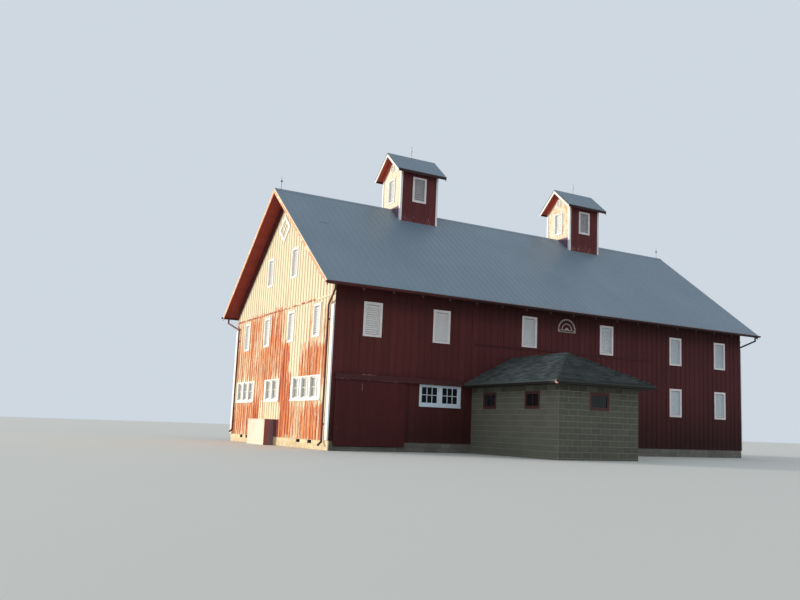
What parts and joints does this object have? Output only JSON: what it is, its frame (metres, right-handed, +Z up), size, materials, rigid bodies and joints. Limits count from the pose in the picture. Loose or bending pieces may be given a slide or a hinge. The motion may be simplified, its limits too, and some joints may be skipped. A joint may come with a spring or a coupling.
{
  "type": "timber barn",
  "caption": "Two-storey timber barn with a gabled metal roof, louvred vents, twin roof cupolas, a sliding stable door and a hip-roofed block milk house on its long side.",
  "frame": {"origin": "centre of the barn's own footprint, without the milk house, at the lowest ground", "axes": "+X along the ridge away from the peeling gable, -Y out of the long front wall with the milk house, +Z up"},
  "size_m": [22.62, 18.595, 14.02],
  "materials": {
    "stone": "rough lime-washed stone",
    "concrete": "rough concrete",
    "blockwork": "rough concrete block",
    "timber": "bare sawn timber",
    "red_siding": "weathered red barn paint",
    "peeling_siding": "red paint peeled to pale wood",
    "red_trim": "satin red paint",
    "white_trim": "chalky white paint",
    "white_louvre": "chalky white paint",
    "roof_metal": "weathered blue-grey metal",
    "dark_metal": "dark red enamel",
    "shingles": "grey-green asphalt shingle",
    "steel": "dull dark steel",
    "window_glass": "old window glass",
    "cream_paint": "aged cream paint"
  },
  "bodies": {
    "barn": {"foundation_long_walls": "stone", "foundation_gable_walls": "stone", "foundation_corner_pier": "stone", "door_threshold": "concrete", "ground_floor": "concrete", "posts": "timber", "loft_beams": "timber", "loft_floor": "timber", "front_wall": "red_siding", "front_wall_over_door": "red_siding", "front_wall_corner": "red_siding", "back_wall": "red_siding", "near_gable_wall": "peeling_siding", "far_gable_wall": "red_siding", "roof_front": "roof_metal", "roof_back": "roof_metal", "ridge_cap": "roof_metal", "rake_boards_front": "red_trim", "rake_boards_back": "red_trim", "eave_fascias": "red_trim", "gutters": "dark_metal", "downspouts": "dark_metal", "corner_boards": "white_trim", "drip_boards": "red_trim", "front_louvres": "white_louvre", "back_louvres": "white_louvre", "gable_louvres": "white_louvre", "gable_diamonds": "white_trim", "half_round_panel": "white_trim", "gable_windows": "white_trim", "wall_windows": "white_trim", "barn_window_glass": "window_glass", "door_track": "red_trim", "cupola_eave_walls": "red_siding", "cupola_gable_walls": "red_siding", "cupola_roofs": "roof_metal", "cupola_fascias": "red_trim", "cupola_trim": "white_trim", "cupola_louvres": "white_louvre", "lightning_rods": "steel", "milk_house_front_wall": "blockwork", "milk_house_side_walls": "blockwork", "milk_house_floor": "concrete", "milk_house_eaves": "red_trim", "milk_house_roof": "shingles", "milk_house_windows": "red_trim", "milk_house_glass": "window_glass", "gable_bin": "cream_paint", "gable_bin_lid": "cream_paint"},
    "sliding_door": {"sliding_door": "red_siding", "door_hangers": "steel"}
  },
  "joints": [
    {"name": "door_slide", "type": "slide", "parent": "barn", "child": "sliding_door", "axis": [1, 0, 0], "range_m": [0, 2.4]}
  ]
}
